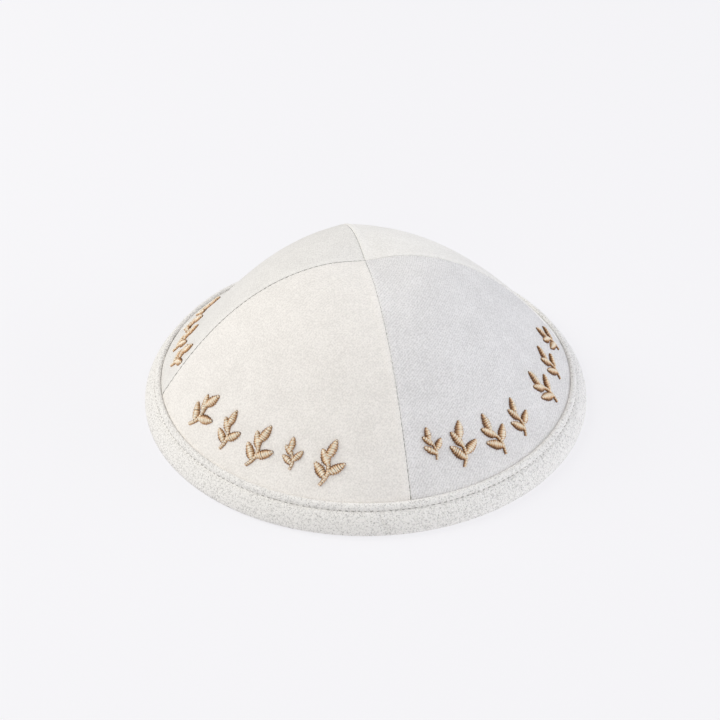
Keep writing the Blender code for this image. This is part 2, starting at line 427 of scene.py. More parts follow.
bandLook = {
    # the dark tone goes into the crumbs' low gaps as painted shade
    "crumbs": {"Crumb": 1300.0, "Crumb Edge": 0.58, "Crumb Top": 0.18, "Crumb Height": 0.7,
               "Fine": 2800.0, "Stir": 900.0, "Waver": 0.0007, "Painted Gap Shade Darkest At": 0.22, "Painted Gap Shade Lightest At": 0.57,
               "Light Tone": (1.0, 0.98, 0.95, 1.0), "Dark Tone": (0.28, 0.27, 0.255, 1.0)},
    "bump": 0.00020,
    "bumpStrength": 1.0,
    "finish": {"Roughness": 0.95},
}


def makeBandMaterial(name):
    material, tree, shader = newMaterial(name, bandLook["finish"])
    place = addNode(tree, "ShaderNodeTexCoord", -900, 0)
    crumbs = addNode(tree, "ShaderNodeGroup", -400, 0, node_tree=crumbGroup)
    setInputs(crumbs, bandLook["crumbs"])
    joinNodes(tree, ((place, "Object", crumbs, "Vector"), (crumbs, "Tone", shader, "Base Color")))
    addBump(tree, crumbs, shader, bandLook)
    return material


# glossy gold thread; the ramp runs from painted shade at a stitch's dark ends to a painted highlight at its
# crest
satinLook = {
    "stops": (
        {"at": 0.0, "colour": (0.15, 0.055, 0.016)},
        {"at": 0.46, "colour": (0.62, 0.34, 0.145)},
        {"at": 0.74, "colour": (0.88, 0.63, 0.39)},
        {"at": 1.0, "colour": (1.0, 0.92, 0.76)},
    ),
    "finish": {"Roughness": 0.24, "Specular IOR Level": 1.0},
}


def makeSatinMaterial(name):
    # the tone is set along each stitch by the shade attribute, which paints a highlight near the crest and
    # shade towards the ends
    material, tree, shader = newMaterial(name, satinLook["finish"])
    shade = addNode(tree, "ShaderNodeAttribute", -700, 0, attribute_name="shade")
    ramp = addRamp(tree, -400, 0, satinLook["stops"])
    joinNodes(tree, ((shade, "Fac", ramp, "Fac"), (ramp, "Color", shader, "Base Color")))
    return material


# twisted threads with slightly uneven dye
threadDye = {"scale": 1500.0, "darkAt": 0.32, "lightAt": 0.66}
threadLooks = {
    # dark padding under the satin stitches: painted shade showing between the threads
    "underThreadPaintedShade": {"light": (0.16, 0.075, 0.03), "dark": (0.09, 0.04, 0.015),
                    "finish": {"Roughness": 0.8, "Specular IOR Level": 0.2}},
    "sewingThread": {"light": (0.52, 0.51, 0.48), "dark": (0.38, 0.37, 0.35),
                     "finish": {"Roughness": 0.7, "Specular IOR Level": 0.3}},
    "seamThread": {"light": (0.36, 0.36, 0.33), "dark": (0.24, 0.24, 0.22),
                   "finish": {"Roughness": 0.9, "Specular IOR Level": 0.1}},
}


def makeThreadMaterial(name, look):
    material, tree, shader = newMaterial(name, look["finish"])
    place = addNode(tree, "ShaderNodeTexCoord", -900, 0)
    dye = addNode(tree, "ShaderNodeTexNoise", -650, 0, Scale=threadDye["scale"], Detail=2.0, Roughness=0.6)
    ramp = addRamp(tree, -400, 0, (
        {"at": threadDye["darkAt"], "colour": look["dark"]},
        {"at": threadDye["lightAt"], "colour": look["light"]},
    ))
    joinNodes(tree, (
        (place, "Object", dye, "Vector"),
        (dye, "Fac", ramp, "Fac"),
        (ramp, "Color", shader, "Base Color"),
    ))
    return material


napGroup = makeNapGroup()
crumbGroup = makeCrumbGroup()
bandCloth = makeBandMaterial("bandSuede")
clothMaterials = {}
for place, look in clothLooks.items():
    clothMaterials[place] = makeClothMaterial("suede" + camelPlace(place), look)
satinThread = makeSatinMaterial("satinThread")
threads = {name: makeThreadMaterial(name, look) for name, look in threadLooks.items()}
print("materials made")

# crown panels

panelLook = {
    "rows": 190,
    "rowCrowding": 1.05,
    "middleColumns": 34,
    "apexRadius": 0.00012,
    "edgeDistances": (0.00003, 0.00008, 0.00014, 0.00022, 0.00030, 0.00038, 0.00048, 0.00070, 0.0011,
                      0.0016, 0.0019, 0.00215, 0.0024, 0.0027, 0.0034),
    "edgeShare": 20.0,
    "tuckShares": (0.12, 0.3, 0.6, 1.0),
    "mergeDistance": 1e-7,
    "seamHalfGap": 0.00003,
    "apexGapShare": 0.7,
    "seamRoll": 0.00046,
    "rollFade": 0.0015,
    "rollLeast": 0.5,
    "puckerPitch": 0.0023,
    "pucker": 0.00008,
    "puckerReach": 0.0022,
    "puckerFrom": 0.004,
    "puckerFade": 0.020,
    "raisedWidth": 0.0022,
    "raisedStep": 0.0006,
    "raisedLift": 0.00013,
    "raisedFrom": 0.003,
    "raisedFade": 0.006,
    "raisedEnd": 0.0010,
    "swellFade": 0.006,
    "flatTurn": 0.79,
}

# the turned edges of a seam lie under one of its two panels, or under both:
# how far this panel is raised over them beside its first seam and its second
panelRows = {
    "front_right": {"start": 0.0, "first": 0.6, "second": 0.0},
    "back_right": {"start": 90.0, "first": 1.0, "second": 1.0},
    "back_left": {"start": 180.0, "first": 0.0, "second": 1.0},
    "front_left": {"start": 270.0, "first": 0.0, "second": 1.0},
}


def columnAngles(radius):
    # angles across one panel at this radius, closer together beside the seams
    distances = np.array(panelLook["edgeDistances"])
    reach = min(distances[-1], radius * math.sin(math.radians(panelLook["edgeShare"])))
    near = np.arcsin(np.minimum(distances / distances[-1] * reach / radius, 1.0))
    first = math.asin(min(panelLook["seamHalfGap"] / radius, panelLook["apexGapShare"]))
    near = np.maximum(near, first)
    middle = np.linspace(near[-1], 0.5 * math.pi - near[-1], panelLook["middleColumns"] + 2)[1:-1]
    return np.concatenate([near, middle, 0.5 * math.pi - near[::-1]])


def seamRoll(distance):
    width = panelLook["seamRoll"]
    part = np.clip(1.0 - distance / width, 0.0, 1.0)
    return -width * (1.0 - np.sqrt(1.0 - part ** 2))


def raisedStrip(distance):
    step = panelLook["raisedStep"]
    part = np.clip((panelLook["raisedWidth"] + step - distance) / step, 0.0, 1.0)
    return part * part * (3.0 - 2.0 * part)


def keepInside(points, start):
    # no point of a panel crosses its two seams
    turn = worldAngle(start)
    along = np.array([math.sin(turn), -math.cos(turn)])
    aside = np.array([math.cos(turn), math.sin(turn)])
    first = np.maximum(points[..., 0] * along[0] + points[..., 1] * along[1], panelLook["seamHalfGap"])
    second = np.maximum(points[..., 0] * aside[0] + points[..., 1] * aside[1], panelLook["seamHalfGap"])
    kept = points.copy()
    kept[..., 0] = first * along[0] + second * aside[0]
    kept[..., 1] = first * along[1] + second * aside[1]
    return kept


def panelGrid(start):
    # the plain crown's face over one panel, with the edge below it that is tucked into the band
    shares = np.linspace(0.0, 1.0, panelLook["rows"]) ** panelLook["rowCrowding"]
    radii = panelLook["apexRadius"] + (capSizes["foldRadius"] - panelLook["apexRadius"]) * shares
    angles = np.array([columnAngles(radius) for radius in radii])
    radius = radii[:, None] + 0.0 * angles
    height = crownHeight(radius, angles)
    tuckAngles = angles[-1]
    for share in panelLook["tuckShares"]:
        lowRadius, lowHeight = slopePoint(share * capSizes["tuck"], 0.0)
        angles = np.vstack([angles, tuckAngles])
        radius = np.vstack([radius, np.full_like(tuckAngles, lowRadius)])
        height = np.vstack([height, np.full_like(tuckAngles, lowHeight)])
    fold = -len(panelLook["tuckShares"]) - 1
    normals = crownNormals(radius, angles, start)
    low = slopeNormals(tuckAngles, start)
    normals[fold + 1:] = low
    folded = normals[fold] + low
    normals[fold] = folded / np.linalg.norm(folded, axis=-1, keepdims=True)
    return radius, angles, roundPoints(radius, angles + start, height), normals


def panelLift(row, radius, angles, travel, base):
    # how far each point stands off the plain crown, and its share of the raised cloth
    fromFirst, fromSecond = radius * np.sin(angles), radius * np.cos(angles)
    toSeam = np.minimum(fromFirst, fromSecond)
    roll = seamRoll(toSeam) * np.maximum(fade(radius, 0.0, panelLook["rollFade"]), panelLook["rollLeast"])
    pull = np.cos(2.0 * math.pi * travel / panelLook["puckerPitch"]) * panelLook["pucker"]
    pull = pull * np.exp(-((toSeam / panelLook["puckerReach"]) ** 2))
    lift = roll + pull * fade(radius, panelLook["puckerFrom"], panelLook["puckerFade"])
    raised = row["first"] * raisedStrip(fromFirst) + row["second"] * raisedStrip(fromSecond)
    raised *= fade(radius, panelLook["raisedFrom"], panelLook["raisedFade"])
    raised *= fade(capSizes["foldRadius"] - radius, 0.0, panelLook["raisedEnd"])
    lift += raised * panelLook["raisedLift"]
    waves = np.array([softWave(x, y) for x, y in base[..., :2].reshape(-1, 2)]).reshape(toSeam.shape)
    lift += waves * fade(toSeam, 0.0, panelLook["swellFade"])
    tucked = lift[-len(panelLook["tuckShares"]):]
    np.minimum(tucked, 0.0, out=tucked)
    return lift, raised


def addClothMap(mesh, travel, angles):
    # the cloth as it was cut flat, in metres, for the weave
    turn = (angles - 0.25 * math.pi) * panelLook["flatTurn"]
    flat = np.stack([travel * np.sin(turn), travel * np.cos(turn)], axis=-1).reshape(-1, 2)
    flat = np.concatenate([flat, flat])
    layer = mesh.uv_layers.new(name="clothMap")
    corners = np.zeros(len(mesh.loops), dtype=np.int32)
    mesh.loops.foreach_get("vertex_index", corners)
    layer.data.foreach_set("uv", flat[corners].astype(np.float32).ravel())


def buildPanel(place, row):
    start = math.radians(row["start"])
    radius, angles, base, normals = panelGrid(start)
    middle = base[:, base.shape[1] // 2]
    steps = np.linalg.norm(np.diff(middle, axis=0), axis=1)
    travel = np.concatenate([[0.0], np.cumsum(steps)])[:, None]
    lift, raised = panelLift(row, radius, angles, travel, base)
    outer = keepInside(base + normals * lift[..., None], start)
    inner = keepInside(base - normals * capSizes["panelWall"], start)
    verts = np.concatenate([outer.reshape(-1, 3), inner.reshape(-1, 3)])
    name = "crownPanel" + camelPlace(place)
    mesh = bpy.data.meshes.new(name)
    mesh.from_pydata(verts.tolist(), [], wallFaces(*angles.shape))
    mesh.update()
    addClothMap(mesh, travel, angles)
    # the raised share goes to the cloth's shader, which paints a sheen over it
    strip = mesh.attributes.new("raised", "FLOAT", "POINT")
    shares = np.concatenate([raised.ravel(), np.zeros(raised.size)])
    strip.data.foreach_set("value", shares.astype(np.float32))
    finishMesh(mesh, panelLook["mergeDistance"])
    newPiece(name, mesh, [clothMaterials[place]], ["crown_panel_" + place])


for place, row in panelRows.items():
    buildPanel(place, row)
print("crown panels made")

# rim band

bandSizes = {
    "wall": 0.0013,
    "clearance": 0.00005,
    "floorClearance": 0.0003,
    "innerStart": 0.0016,
    "insideRows": (0.72, 0.4),
    "slotRow": 0.5,
    "slotTop": 0.0012,
    "mergeDistance": 1e-6,
    "stitchDown": 0.0027,
    "stitchPitch": 0.0021,
    "stitchRing": 0.0775,
    "stepsPerStitch": 6,
    "puff": 0.00011,
    "uneven": 0.00012,
    "unevenDensity": 6.0,
    "unevenDepth": 2.0,
    "unevenAbovePull": 0.15,
    "joinAngle": -8.1,
    "joinWidth": 0.00035,
    "joinDepth": 0.00042,
    "joinRing": 0.080,
    "joinLeanFrom": 0.0060,
    "joinLean": 0.65,
}

# outer side from the top edge down: metres down the slope, metres out, and
# how much of the stitches' pull each point takes
bandSide = (
    {"down": 0.00035, "out": 0.00000, "pull": 0.0},
    {"down": 0.00005, "out": 0.00035, "pull": 0.2},
    {"down": 0.00000, "out": 0.00085, "pull": 0.3},
    {"down": 0.00025, "out": 0.00135, "pull": 0.5},
    {"down": 0.00075, "out": 0.00165, "pull": 0.7},
    {"down": 0.00135, "out": 0.00176, "pull": 1.0},
    {"down": 0.00185, "out": 0.00168, "pull": 1.0},
    {"down": 0.00225, "out": 0.00148, "pull": 0.9},
    {"down": 0.00253, "out": 0.00120, "pull": 0.4},
    {"down": 0.00270, "out": 0.00104, "pull": 0.2},
    {"down": 0.00287, "out": 0.00120, "pull": 0.4},
    {"down": 0.00320, "out": 0.00150, "pull": 0.9},
    {"down": 0.00380, "out": 0.00174, "pull": 1.0},
    {"down": 0.00460, "out": 0.00188, "pull": 0.6},
    {"down": 0.00560, "out": 0.00195, "pull": 0.3},
    {"down": 0.00670, "out": 0.00193, "pull": 0.1},
    {"down": 0.00780, "out": 0.00182, "pull": 0.0},
    {"down": 0.00880, "out": 0.00164, "pull": 0.0},
    {"down": 0.00970, "out": 0.00136, "pull": 0.0},
    {"down": 0.01045, "out": 0.00100, "pull": 0.0},
    {"down": 0.01105, "out": 0.00058, "pull": 0.0},
)

# the foot that rests on the table, radius and height in metres
bandFoot = [(0.0806, 0.00012), (0.0802, 0.0), (0.0788, 0.0), (0.0782, 0.00022)]

# the band's own fold inside the cap, down and out from its start, in walls
bandFold = ((0.4, -1.0), (0.0, -0.75), (-0.1, -0.5), (0.0, -0.2), (0.2, 0.0))


def bandSection():
    # the closed outline that is swept round the rim: outside, foot, inside and the panels' slot
    wall, clearance = bandSizes["wall"], bandSizes["clearance"]
    inside = -(capSizes["panelWall"] + clearance)
    floorDown = capSizes["tuck"] + bandSizes["floorClearance"]
    slotRow = bandSizes["slotRow"] * floorDown
    inner = [(share * floorDown, -wall) for share in bandSizes["insideRows"]]
    inner += [(bandSizes["innerStart"] + down * wall, out * wall) for down, out in bandFold]
    inner += [(slotRow, 0.0), (floorDown, 0.0)]
    section = [slopePoint(row["down"], clearance + row["out"]) for row in bandSide]
    section += bandFoot
    section += [slopePoint(down, inside + out) for down, out in inner]
    section += [slopePoint(down, clearance) for down in (floorDown, slotRow, bandSizes["slotTop"])]
    return np.array([(float(radius), float(height)) for radius, height in section])


def bandUnevenness(angle):
    density = bandSizes["unevenDensity"]
    spots = [(math.cos(a) * density, math.sin(a) * density, bandSizes["unevenDepth"]) for a in angle]
    return np.array([noise.noise(Vector(spot)) for spot in spots])


def bandJoin(angle):
    # where the strip's two ends are joined, a narrow slanted crease
    join = np.zeros((len(angle), len(bandSide)))
    for column, row in enumerate(bandSide):
        if row["down"] > bandSizes["stitchDown"]:
            lean = max(row["down"] - bandSizes["joinLeanFrom"], 0.0) * bandSizes["joinLean"]
            centre = math.radians(bandSizes["joinAngle"]) + lean / bandSizes["joinRing"]
            away = (angle - centre + math.pi) % (2.0 * math.pi) - math.pi
            share = away * bandSizes["joinRing"] / bandSizes["joinWidth"]
            join[:, column] = -bandSizes["joinDepth"] * np.exp(-(share ** 2))
    return join


def buildBand():
    section = bandSection()
    count = len(section)
    pulls = np.zeros(count)
    pulls[:len(bandSide)] = [row["pull"] for row in bandSide]
    # puffed between stitches and dented at each one, with a slow unevenness
    stitchCount = round(2.0 * math.pi * bandSizes["stitchRing"] / bandSizes["stitchPitch"])
    steps = stitchCount * bandSizes["stepsPerStitch"]
    angle = np.arange(steps) * 2.0 * math.pi / steps
    beat = 0.5 - 0.5 * np.cos(angle * stitchCount)
    lift = (beat[:, None] - 0.5) * bandSizes["puff"] * pulls
    loose = pulls > bandSizes["unevenAbovePull"]
    lift += bandUnevenness(angle)[:, None] * bandSizes["uneven"] * loose
    lift[:, :len(bandSide)] += bandJoin(angle)
    tilt = math.radians(capSizes["bandTilt"])
    points = section[None, :, :] + lift[..., None] * np.array([math.sin(tilt), math.cos(tilt)])
    ring = roundPoints(points[..., 0], angle[:, None], points[..., 1])
    faces = []
    for step in range(steps):
        here = step * count
        after = (step + 1) % steps * count
        for column in range(count):
            beside = (column + 1) % count
            faces.append([here + column, after + column, after + beside, here + beside])
    mesh = bpy.data.meshes.new("rimBand")
    mesh.from_pydata(ring.reshape(-1, 3).tolist(), [], faces)
    finishMesh(mesh, bandSizes["mergeDistance"])
    newPiece("rimBand", mesh, [bandCloth], ["rim_band"])
    return stitchCount


stitchCount = buildBand()
print("rim band made")

# stitches and threads, laid along paths by geometry nodes

def finishGeometry(tree, given, result, source):
    # plain joined shapes, shaded smooth, in the given material
    whole = addNode(tree, "GeometryNodeRealizeInstances", 0, 0)
    smooth = addNode(tree, "GeometryNodeSetShadeSmooth", 150, 0)
    dressed = addNode(tree, "GeometryNodeSetMaterial", 300, 0)
    joinNodes(tree, (
        (source, 0, whole, "Geometry"),
        (whole, 0, smooth, "Geometry"),
        (smooth, 0, dressed, "Geometry"),
        (given, "Material", dressed, "Material"),
        (dressed, 0, result, "Geometry"),
    ))


def makeStitchTree():
    # short stitches set end to end along a path, each turned to follow it
    tree, given, result = newTree("GeometryNodeTree", "stitchRow", {
        "Geometry": "Geometry",
        "Stitch Count": 100,
        "Stitch Length": 0.0018,
        "Thread Radius": 0.0002,
        "Unevenness": 0.1,
        "Material": "Material",
    }, {"Geometry": "Geometry"})
    toCurve = addNode(tree, "GeometryNodeMeshToCurve", -800, 0)
    spaced = addNode(tree, "GeometryNodeResampleCurve", -600, 0, mode="COUNT")
    bead = addNode(tree, "GeometryNodeMeshUVSphere", -600, -250, Segments=8, Rings=6, Radius=1.0)
    shaped = addNode(tree, "ShaderNodeCombineXYZ", -600, -450)
    half = addNode(tree, "ShaderNodeMath", -800, -450, operation="MULTIPLY")
    half.inputs[1].default_value = 0.5
    tangent = addNode(tree, "GeometryNodeInputTangent", -800, -650)
    facing = addNode(tree, "FunctionNodeAlignRotationToVector", -600, -650, axis="X")
    uneven = addNode(tree, "FunctionNodeRandomValue", -400, -650, data_type="FLOAT", Seed=11)
    uneven.inputs[3].default_value = 1.0
    low = addNode(tree, "ShaderNodeMath", -600, -850, operation="SUBTRACT")
    low.inputs[0].default_value = 1.0
    laid = addNode(tree, "GeometryNodeInstanceOnPoints", -200, 0)
    sized = addNode(tree, "ShaderNodeVectorMath", -200, -450, operation="SCALE")
    joinNodes(tree, (
        (given, "Geometry", toCurve, "Mesh"),
        (toCurve, "Curve", spaced, "Curve"),
        (given, "Stitch Count", spaced, "Count"),
        (spaced, "Curve", laid, "Points"),
        (bead, "Mesh", laid, "Instance"),
        (given, "Stitch Length", half, 0),
        (half, 0, shaped, "X"),
        (given, "Thread Radius", shaped, "Y"),
        (given, "Thread Radius", shaped, "Z"),
        (tangent, "Tangent", facing, "Vector"),
        (facing, "Rotation", laid, "Rotation"),
        (given, "Unevenness", low, 1),
        (low, 0, uneven, 2),
        (shaped, "Vector", sized, 0),
        (uneven, 1, sized, "Scale"),
        (sized, "Vector", laid, "Scale"),
    ))
    finishGeometry(tree, given, result, laid)
    return tree


def makeThreadTree():
    # a round thread along every line of the mesh it is given
    tree, given, result = newTree("GeometryNodeTree", "satinThreads", {
        "Geometry": "Geometry",
        "Thread Radius": 0.00019,
        "Thread Sides": 6,
        "Material": "Material",
    }, {"Geometry": "Geometry"})
    toCurve = addNode(tree, "GeometryNodeMeshToCurve", -600, 0)
    ring = addNode(tree, "GeometryNodeCurvePrimitiveCircle", -600, -200)
    tube = addNode(tree, "GeometryNodeCurveToMesh", -350, 0)
    tube.inputs["Fill Caps"].default_value = True
    joinNodes(tree, (
        (given, "Geometry", toCurve, "Mesh"),
        (given, "Thread Radius", ring, "Radius"),
        (given, "Thread Sides", ring, "Resolution"),
        (toCurve, "Curve", tube, "Curve"),
        (ring, "Curve", tube, "Profile Curve"),
    ))
    finishGeometry(tree, given, result, tube)
    return tree


def linesMesh(name, lines, closed, shades):
    mesh = bpy.data.meshes.new(name)
    verts, edges = [], []
    for line in lines:
        first = len(verts)
        verts += [tuple(point) for point in line]
        edges += [(first + step, first + step + 1) for step in range(len(line) - 1)]
        if closed:
            edges.append((first + len(line) - 1, first))
    mesh.from_pydata(verts, edges, [])
    if shades:
        layer = mesh.attributes.new("shade", "FLOAT", "POINT")
        layer.data.foreach_set("value", [value for line in shades for value in line])
    return mesh


def grownMesh(name, lines, tree, values, closed=False, shades=None):
    # run a geometry nodes tree on lines and keep the plain mesh it makes
    carrier = addObject(name, linesMesh(name, lines, closed, shades))
    modifier = carrier.modifiers.new("grown", "NODES")
    modifier.node_group = tree
    for item in tree.interface.items_tree:
        if item.in_out == "INPUT" and item.name in values:
            modifier[item.identifier] = values[item.name]
    graph = bpy.context.evaluated_depsgraph_get()
    mesh = bpy.data.meshes.new_from_object(carrier.evaluated_get(graph))
    carrier.modifiers.remove(modifier)
    bpy.data.objects.remove(carrier, do_unlink=True)
    mesh.materials.clear()
    return mesh


stitchTree = makeStitchTree()
threadTree = makeThreadTree()

stitchLooks = {
    "top": {"Stitch Length": 0.00130, "Thread Radius": 0.00020, "Unevenness": 0.35},
    "topOut": 0.00120,
    "topPointsPerStitch": 3,
    "seam": {"Stitch Length": 0.00190, "Thread Radius": 0.00015, "Unevenness": 0.2},
    "seamPitch": 0.0017,
    "seamFrom": 0.0002,
    "seamShort": 0.0006,
    "seamPoints": 60,
}

# each seam from the front one round: metres that its thread lies under the face
seamRows = (
    {"angle": 0.0, "sink": 0.00028, "slot": "cloth_front_right"},
    {"angle": 90.0, "sink": 0.00050, "slot": "cloth_back_right"},
    {"angle": 180.0, "sink": 0.00028, "slot": "cloth_back_left"},
    {"angle": 270.0, "sink": 0.00018, "slot": "cloth_front_left"},
)


def buildTopstitch():
    radius, height = slopePoint(bandSizes["stitchDown"], stitchLooks["topOut"])
    points = stitchCount * stitchLooks["topPointsPerStitch"]
    angle = math.pi / stitchCount + np.arange(points) * 2.0 * math.pi / points
    path = roundPoints(float(radius), angle, float(height))
    values = {"Stitch Count": stitchCount, "Material": threads["sewingThread"], **stitchLooks["top"]}
    mesh = grownMesh("bandTopstitch", [path], stitchTree, values, closed=True)
    newPiece("bandTopstitch", mesh, [threads["sewingThread"]])


def buildSeamStitches():
    last = capSizes["foldRadius"] - stitchLooks["seamShort"]
    radii = np.linspace(stitchLooks["seamFrom"], last, stitchLooks["seamPoints"])
    for number, row in enumerate(seamRows, start=1):
        line = roundPoints(radii, math.radians(row["angle"]), crownHeight(radii, 0.0) - row["sink"])
        length = float(np.linalg.norm(np.diff(line, axis=0), axis=1).sum())
        count = int(length / stitchLooks["seamPitch"])
        values = {"Stitch Count": count, "Material": threads["seamThread"], **stitchLooks["seam"]}
        mesh = grownMesh("seamStitches" + str(number), [line], stitchTree, values)
        newPiece("seamStitches" + str(number), mesh, [threads["seamThread"]])


buildTopstitch()
buildSeamStitches()
print("stitches made")

# stitched leaf sprigs

sprigSizes = {
    "length": 0.0158,
    "stemWidth": 0.0013,
    "stemShare": 0.62,
    "stemBend": 0.10,
    "stemEnds": 0.75,
    "stemRise": 0.9,
    "leafForward": 0.80,
    "leafPoint": 0.90,
    "height": 0.00095,
    "fullHeightHalf": 0.0010,
    "narrowest": 0.00022,
    "seed": 5,
}

# one thread of a stroke: sizes in metres, tones from 0, dark, to 1, bright
threadSizes = {
    "radius": 0.00021,
    "pitch": 0.00041,
    "fewest": 4,
    "sides": 6,
    "points": 9,
    "slant": 0.12,
    "endStep": 0.08,
    "unevenEnds": 0.06,
    "wobble": 0.2,
    "archPower": 2.6,
    "sink": 0.00006,
    "tone": 1.02,
    "toneStep": 0.10,
    "toneSpread": 0.10,
    # how strongly and how sharply shade is painted from the crest out to each stitch's ends
    "paintedEdgeShade": 1.60,
    "paintedEdgeShadePower": 1.8,
    # where the painted highlight sits across a stitch, off its middle towards one side
    "crest": 0.15,
}

# the padding under the threads, its width and height as shares of theirs; it is dark brown as painted shade
# in the gaps between the threads
padSizes = {
    "rows": 12,
    "columns": 5,
    "ends": 0.03,
    "width": 0.96,
    "height": 0.72,
    "archPower": 2.0,
    "lift": 0.00004,
    "depth": 0.00020,
}

# share of the stem where a leaf grows, degrees it leans away, length and
# width as shares of the sprig's length
leafRows = (
    {"along": 0.28, "lean": -46.0, "length": 0.46, "width": 0.205},
    {"along": 0.46, "lean": 46.0, "length": 0.46, "width": 0.205},
    {"along": 0.74, "lean": -36.0, "length": 0.42, "width": 0.195},
    {"along": 0.96, "lean": 10.0, "length": 0.46, "width": 0.205},
)

# degrees from the front seam, metres in from the fold line, share of the
# full size and degrees of lean
sprigRows = {
    "front_left": (
        {"angle": -69.0, "inside": 0.0082, "size": 1.00, "lean": 12.0},
        {"angle": -57.0, "inside": 0.0088, "size": 0.90, "lean": -10.0},
        {"angle": -45.0, "inside": 0.0090, "size": 1.00, "lean": 8.0},
        {"angle": -34.0, "inside": 0.0098, "size": 0.70, "lean": -12.0},
        {"angle": -22.5, "inside": 0.0086, "size": 1.00, "lean": 10.0},
    ),
    "front_right": (
        {"angle": 8.5, "inside": 0.0106, "size": 0.70, "lean": -12.0},
        {"angle": 18.0, "inside": 0.0094, "size": 1.00, "lean": 8.0},
        {"angle": 30.0, "inside": 0.0088, "size": 1.00, "lean": -10.0},
        {"angle": 41.5, "inside": 0.0090, "size": 0.90, "lean": 10.0},
        {"angle": 59.0, "inside": 0.0082, "size": 1.00, "lean": -8.0},
        {"angle": 70.5, "inside": 0.0082, "size": 0.90, "lean": 12.0},
        {"angle": 81.5, "inside": 0.0082, "size": 0.90, "lean": -10.0},
    ),
    "back_left": (
        {"angle": -96.0, "inside": 0.0082, "size": 0.90, "lean": 10.0},
        {"angle": -106.5, "inside": 0.0086, "size": 0.95, "lean": -10.0},
        {"angle": -117.0, "inside": 0.0082, "size": 0.90, "lean": 12.0},
        {"angle": -127.5, "inside": 0.0086, "size": 0.95, "lean": -8.0},
    ),
}


def facePoint(x, y):
    angle = math.atan2(x, -y) - worldAngle(0.0)
    return Vector((x, y, float(crownHeight(math.hypot(x, y), angle)) + softWave(x, y)))


def surfacePoint(x, y, lift):
    step = 0.0001
    here = facePoint(x, y)
    across = facePoint(x + step, y) - here
    along = facePoint(x, y + step) - here
    return here + across.cross(along).normalized() * lift


def sprigFrame(row):
    # a sprig's place on the crown, its own directions and its length
    angle = math.radians(row["angle"])
    radius = capSizes["foldRadius"] - row["inside"]
    base = Vector(roundPoints(radius, angle, float(crownHeight(radius, angle))))
    inner = radius - 0.0001
    upward = (Vector(roundPoints(inner, angle, float(crownHeight(inner, angle)))) - base).normalized()
    sideways = Vector(roundPoints(1.0, angle + 0.5 * math.pi, 0.0))
    lean = math.radians(row["lean"])
    up = upward * math.cos(lean) + sideways * math.sin(lean)
    right = sideways * math.cos(lean) - upward * math.sin(lean)
    return {"base": base, "right": right, "up": up, "length": sprigSizes["length"] * row["size"]}


def onCrown(place, spot, lift):
    right = place["right"] * (spot.x * place["length"])
    up = place["up"] * ((spot.y - 0.5) * place["length"])
    flat = place["base"] + right + up
    return surfacePoint(flat.x, flat.y, lift)


def stemLine(share):
    bend = sprigSizes["stemBend"]
    return Vector((bend * math.sin(math.pi * share) - 0.5 * bend, sprigSizes["stemShare"] * share))


def stemHalf(share):
    ends = sprigSizes["stemEnds"]
    widest = 0.5 * sprigSizes["stemWidth"] / sprigSizes["length"]
    return widest * (ends + (1.0 - ends) * math.sin(math.pi * share))


def leafWidth(share):
    # widest before the middle, with a pointed tip
    return math.sin(math.pi * share ** sprigSizes["leafForward"]) ** sprigSizes["leafPoint"]


def leafStroke(leaf):
    lean = math.radians(leaf["lean"])
    ahead = Vector((math.sin(lean), math.cos(lean)))
    root = stemLine(leaf["along"])
    return {
        "line": lambda share: root + ahead * leaf["length"] * share,
        "half": lambda share: 0.5 * leaf["width"] * leafWidth(share),
        "length": leaf["length"],
        "rise": 1.0,
    }


# every satin stitched stroke of a sprig: its middle line, half width and length, all in shares
stemStroke = {"line": stemLine, "half": stemHalf, "length": sprigSizes["stemShare"],
              "rise": sprigSizes["stemRise"]}
sprigStrokes = [stemStroke] + [leafStroke(leaf) for leaf in leafRows]


def strokeAxes(stroke, share):
    step = 0.02
    ahead = (stroke["line"](share + step) - stroke["line"](share - step)).normalized()
    return ahead, Vector((ahead.y, -ahead.x))


def archHeight(side, power, half, top):
    # height across a stroke, the side from -1 to 1, and lower where its half width in metres is small
    return (1.0 - abs(side) ** power) * top * min(half / sprigSizes["fullHeightHalf"], 1.0) ** 0.5


def threadShade(side, tone):
    # a painted highlight near the crest, fading into painted shade towards the stitch's ends
    fromCrest = abs(side - threadSizes["crest"]) / (1.0 + threadSizes["crest"])
    return min(max(tone - threadSizes["paintedEdgeShade"] * fromCrest ** threadSizes["paintedEdgeShadePower"], 0.0), 1.0)


def threadLines(place, stroke, chance):
    count = max(int(stroke["length"] * place["length"] / threadSizes["pitch"]), threadSizes["fewest"])
    sides = [-1.0 + 2.0 * step / (threadSizes["points"] - 1) for step in range(threadSizes["points"])]
    top = sprigSizes["height"] * stroke["rise"]
    lines, shades = [], []
    for number in range(count):
        share = (number + 0.5) / count
        ahead, aside = strokeAxes(stroke, share)
        turn = 1.0 if number % 2 else -1.0
        ends = 1.0 + threadSizes["endStep"] * turn + threadSizes["unevenEnds"] * chance.uniform(-1.0, 1.0)
        half = stroke["half"](share) * ends
        if half * place["length"] < sprigSizes["narrowest"]:
            continue
        wobble = chance.uniform(-threadSizes["wobble"], threadSizes["wobble"])
        wobble = wobble * threadSizes["pitch"] / place["length"]
        tone = threadSizes["tone"] + threadSizes["toneStep"] * turn
        tone += threadSizes["toneSpread"] * chance.uniform(-1.0, 1.0)
        line = []
        for side in sides:
            spot = stroke["line"](share) + aside * half * side
            spot += ahead * (threadSizes["slant"] * half * side + wobble)
            arch = archHeight(side, threadSizes["archPower"], half * place["length"], top)
            line.append(onCrown(place, spot, arch - threadSizes["sink"]))
        lines.append(line)
        shades.append([threadShade(side, tone) for side in sides])
    return lines, shades


